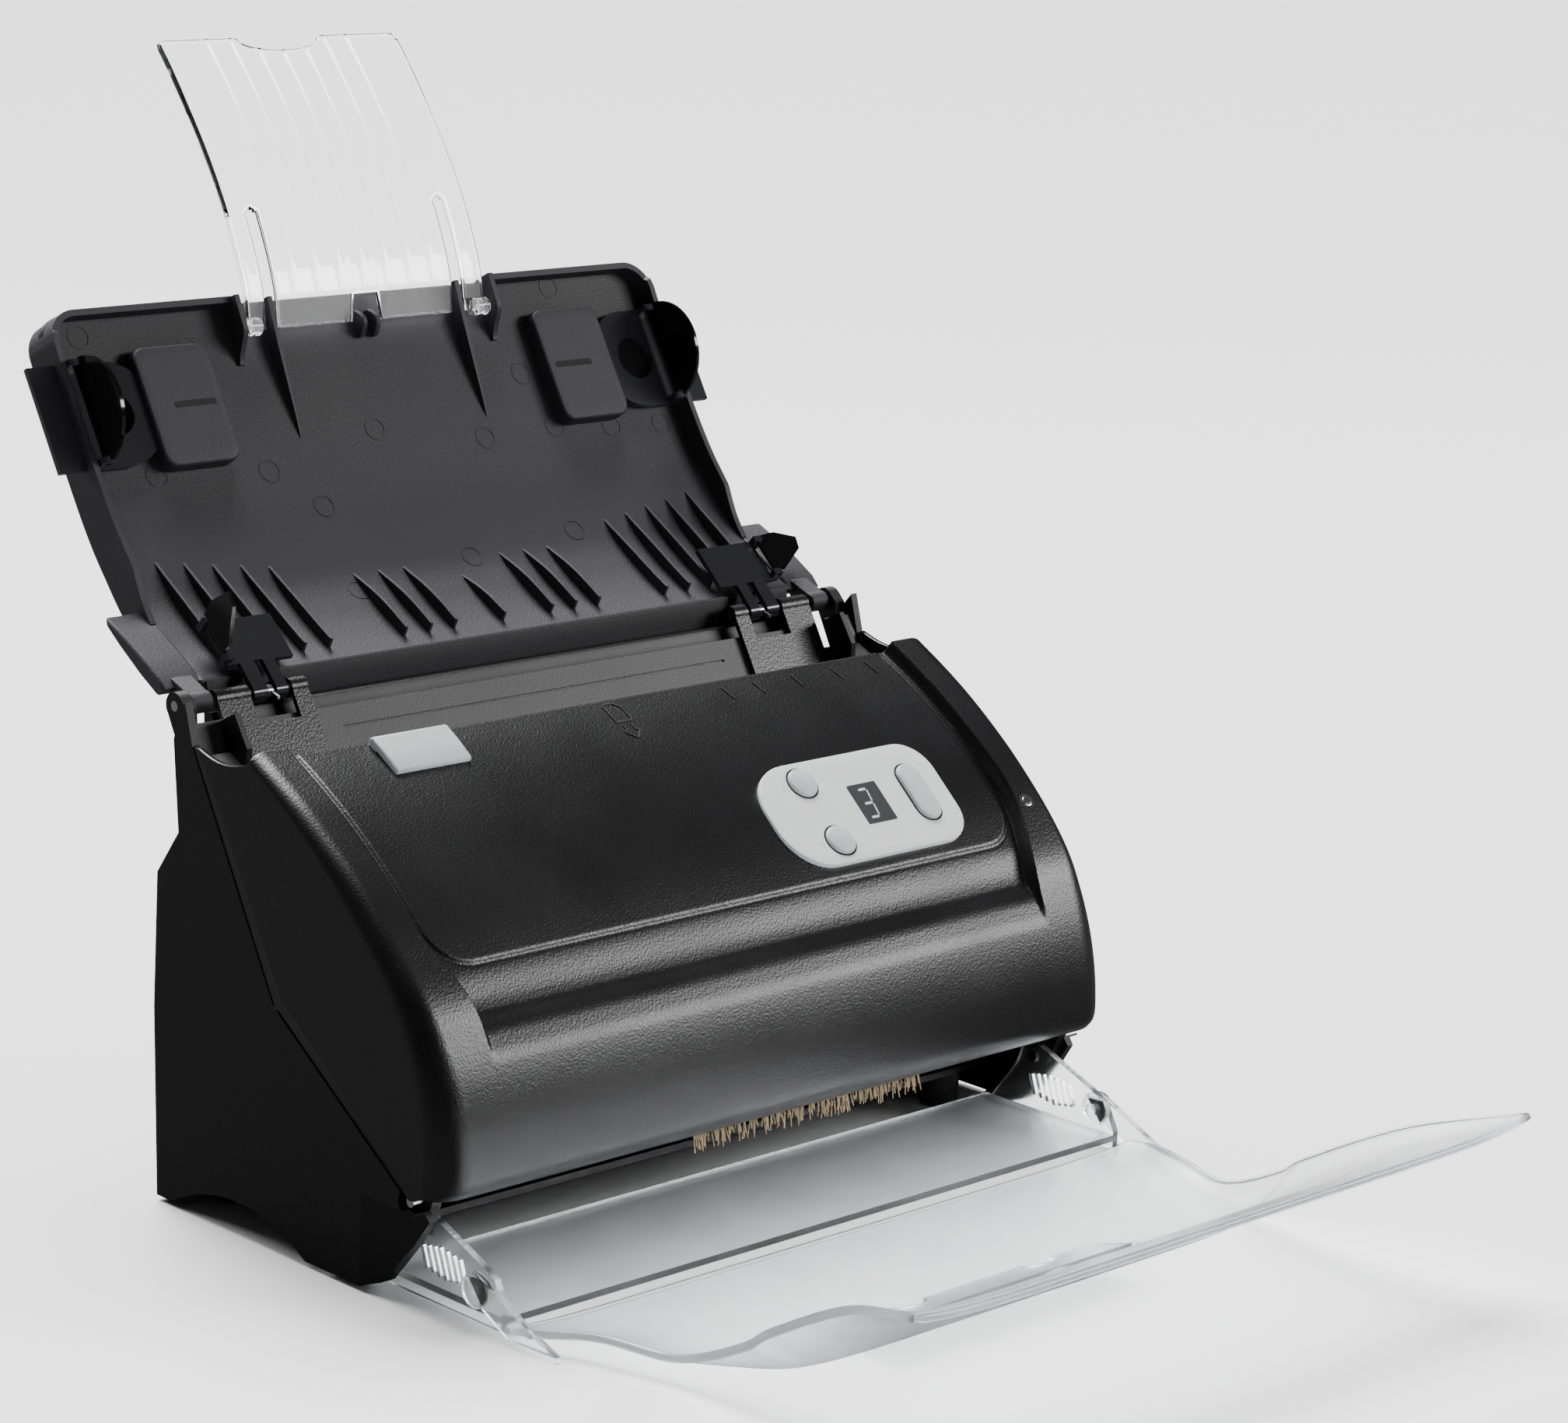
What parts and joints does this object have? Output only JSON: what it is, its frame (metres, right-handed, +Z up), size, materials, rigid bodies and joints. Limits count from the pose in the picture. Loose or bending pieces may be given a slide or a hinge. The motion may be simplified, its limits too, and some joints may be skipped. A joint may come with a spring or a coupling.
{
  "type": "sheet fed document scanner",
  "caption": "Upright sheet fed document scanner with folding paper chute, clear extender, adjustable guides, opening front cover and folding clear output trays.",
  "frame": {"origin": "on the surface that the scanner stands on, on its middle plane", "axes": "+X to the right seen from the front, +Y to the rear, +Z up"},
  "size_m": [0.263, 0.4155, 0.319],
  "materials": {
    "black_shell": "satin",
    "dark_plastic": "satin",
    "chute_plastic": "matte",
    "white_plastic": "satin",
    "grey_plastic": "satin",
    "clear_plastic": "gloss",
    "rubber": "matte",
    "steel": "polished",
    "glass": "gloss",
    "circuit_board": "satin",
    "bristle": "matte",
    "window": "gloss",
    "gear_plastic": "satin"
  },
  "bodies": {
    "base": {"base_housing": "black_shell", "bottom_plate": "dark_plastic", "rubber_feet": "rubber", "feed_deck": "dark_plastic", "mouth_trims": "black_shell", "chute_hinge_pins": "steel", "cover_pivot_pins": "steel", "rear_scan_bar": "dark_plastic", "rear_scan_glass": "glass", "drive_belt": "rubber", "roller_bearings": "gear_plastic", "motor": "steel", "inner_frame": "dark_plastic", "main_board": "circuit_board", "power_jack": "dark_plastic", "data_socket": "steel", "switch_frame": "dark_plastic", "case_screws": "steel", "inner_tray": "clear_plastic"},
    "front_cover": {"front_cover": "black_shell", "control_plate": "white_plastic", "display_window": "window", "button_board": "circuit_board", "cover_path_plate": "dark_plastic", "cover_frame": "dark_plastic", "front_scan_bar": "dark_plastic", "front_scan_glass": "glass", "separation_pad": "rubber", "pad_holder": "dark_plastic", "antistatic_brush": "bristle", "ridge_screw": "steel"},
    "up_button": {"up_button": "grey_plastic"},
    "down_button": {"down_button": "grey_plastic"},
    "scan_button": {"scan_button": "grey_plastic"},
    "release_key": {"release_key": "white_plastic"},
    "power_switch": {"power_switch": "dark_plastic"},
    "feed_roller": {"feed_roller_shaft": "steel", "feed_roller_tyres": "rubber"},
    "motor_pinion": {"motor_pinion": "gear_plastic"},
    "exit_roller": {"exit_roller_shaft": "steel", "exit_roller_tyres": "rubber"},
    "pinch_rollers": {"pinch_rollers": "gear_plastic"},
    "feed_chute": {"feed_chute": "chute_plastic"},
    "chute_extender": {"chute_extender": "clear_plastic"},
    "upper_guide_left": {"upper_guide_left": "grey_plastic"},
    "upper_guide_right": {"upper_guide_right": "grey_plastic"},
    "guide_flap_left": {"guide_flap_left": "black_shell"},
    "guide_flap_right": {"guide_flap_right": "black_shell"},
    "paper_guide_left": {"paper_guide_left": "dark_plastic", "leaf_pin_left": "steel"},
    "paper_guide_right": {"paper_guide_right": "dark_plastic", "leaf_pin_right": "steel"},
    "guide_pinion": {"guide_pinion": "gear_plastic"},
    "guide_leaf_left": {"guide_leaf_left": "black_shell"},
    "guide_leaf_right": {"guide_leaf_right": "black_shell"},
    "side_fin_left": {"side_fin_left": "black_shell"},
    "side_fin_right": {"side_fin_right": "black_shell"},
    "outer_tray": {"outer_tray": "clear_plastic"},
    "paper_stop": {"paper_stop": "clear_plastic"}
  },
  "joints": [
    {"name": "feed_roller_spin", "type": "hinge", "parent": "base", "child": "feed_roller", "pos_m": [0, 0.0396, 0.0998], "axis": [1, 0, 0], "continuous": true},
    {"name": "motor_pinion_spin", "type": "hinge", "parent": "base", "child": "motor_pinion", "pos_m": [0, 0.04127, 0.08067], "axis": [1, 0, 0], "continuous": true},
    {"name": "exit_roller_spin", "type": "hinge", "parent": "base", "child": "exit_roller", "pos_m": [0, -0.0213, 0.0387], "axis": [1, 0, 0], "continuous": true},
    {"name": "pinch_roller_spin", "type": "hinge", "parent": "front_cover", "child": "pinch_rollers", "pos_m": [0, -0.0293, 0.0506], "axis": [1, 0, 0], "continuous": true},
    {"name": "chute_hinge", "type": "hinge", "parent": "base", "child": "feed_chute", "pos_m": [0, 0.059, 0.1465], "axis": [1, 0, 0], "range_deg": [0, 112]},
    {"name": "extender_hinge", "type": "hinge", "parent": "feed_chute", "child": "chute_extender", "pos_m": [0, 0.1364, 0.2372], "axis": [1, 0, 0], "range_deg": [0, 158]},
    {"name": "upper_guide_left_slide", "type": "slide", "parent": "feed_chute", "child": "upper_guide_left", "axis": [1, 0, 0], "range_m": [0, 0.014]},
    {"name": "upper_guide_right_slide", "type": "slide", "parent": "feed_chute", "child": "upper_guide_right", "axis": [-1, 0, 0], "range_m": [0, 0.014]},
    {"name": "guide_flap_left_fold", "type": "hinge", "parent": "upper_guide_left", "child": "guide_flap_left", "pos_m": [-0.1119, 0.12355, 0.21902], "axis": [0, 0.5206, 0.8538], "range_deg": [0, 88]},
    {"name": "guide_flap_right_fold", "type": "hinge", "parent": "upper_guide_right", "child": "guide_flap_right", "pos_m": [0.1119, 0.12355, 0.21902], "axis": [0, -0.5206, -0.8538], "range_deg": [0, 88]},
    {"name": "paper_guide_left_slide", "type": "slide", "parent": "base", "child": "paper_guide_left", "axis": [1, 0, 0], "range_m": [0, 0.04]},
    {"name": "paper_guide_right_slide", "type": "slide", "parent": "base", "child": "paper_guide_right", "axis": [-1, 0, 0], "range_m": [0, 0.04]},
    {"name": "guide_pinion_spin", "type": "hinge", "parent": "base", "child": "guide_pinion", "pos_m": [0, 0.042, 0.11919], "axis": [0, -0.8576, 0.5143], "range_deg": [0, 480]},
    {"name": "guide_leaf_left_hinge", "type": "hinge", "parent": "paper_guide_left", "child": "guide_leaf_left", "pos_m": [0, 0.059, 0.1465], "axis": [1, 0, 0], "range_deg": [0, 112]},
    {"name": "guide_leaf_right_hinge", "type": "hinge", "parent": "paper_guide_right", "child": "guide_leaf_right", "pos_m": [0, 0.059, 0.1465], "axis": [1, 0, 0], "range_deg": [0, 112]},
    {"name": "side_fin_left_fold", "type": "hinge", "parent": "guide_leaf_left", "child": "side_fin_left", "pos_m": [-0.1082, 0.05586, 0.14999], "axis": [0, -0.7431, -0.6691], "range_deg": [0, 88]},
    {"name": "side_fin_right_fold", "type": "hinge", "parent": "guide_leaf_right", "child": "side_fin_right", "pos_m": [0.1082, 0.05586, 0.14999], "axis": [0, -0.7431, -0.6691], "range_deg": [0, 88]},
    {"name": "cover_hinge", "type": "hinge", "parent": "base", "child": "front_cover", "pos_m": [0, -0.05, 0.031], "axis": [-1, 0, 0], "range_deg": [-50, 0]},
    {"name": "up_button_press", "type": "slide", "parent": "front_cover", "child": "up_button", "axis": [0, 0.6566, -0.7543], "range_m": [0, 0.0008], "stiffness_N_per_m": 400, "springref_m": -0.0006},
    {"name": "down_button_press", "type": "slide", "parent": "front_cover", "child": "down_button", "axis": [0, 0.6566, -0.7543], "range_m": [0, 0.0008], "stiffness_N_per_m": 400, "springref_m": -0.0006},
    {"name": "scan_button_press", "type": "slide", "parent": "front_cover", "child": "scan_button", "axis": [0, 0.6566, -0.7543], "range_m": [0, 0.0008], "stiffness_N_per_m": 400, "springref_m": -0.0006},
    {"name": "release_key_slide", "type": "slide", "parent": "front_cover", "child": "release_key", "axis": [0, -0.848, -0.53], "range_m": [0, 0.0015], "stiffness_N_per_m": 300, "springref_m": -0.002},
    {"name": "power_switch_rock", "type": "hinge", "parent": "base", "child": "power_switch", "pos_m": [0, 0.0605, 0.03], "axis": [1, 0, 0], "range_deg": [-10, 0]},
    {"name": "outer_tray_hinge", "type": "hinge", "parent": "base", "child": "outer_tray", "pos_m": [0, -0.0703, 0.0105], "axis": [-1, 0, 0], "range_deg": [0, 72]},
    {"name": "paper_stop_fold", "type": "hinge", "parent": "outer_tray", "child": "paper_stop", "pos_m": [0, -0.158, 0.0102], "axis": [1, 0, 0], "range_deg": [0, 90]}
  ],
  "couplings": [
    {"joint": "motor_pinion_spin", "follows": "feed_roller_spin", "ratio": -3},
    {"joint": "exit_roller_spin", "follows": "feed_roller_spin", "ratio": 1},
    {"joint": "pinch_roller_spin", "follows": "feed_roller_spin", "ratio": -1.3333},
    {"joint": "paper_guide_right_slide", "follows": "paper_guide_left_slide", "ratio": 1},
    {"joint": "guide_pinion_spin", "follows": "paper_guide_left_slide", "rad_per_m": 208.33},
    {"joint": "guide_leaf_left_hinge", "follows": "chute_hinge", "ratio": 1},
    {"joint": "guide_leaf_right_hinge", "follows": "chute_hinge", "ratio": 1}
  ]
}
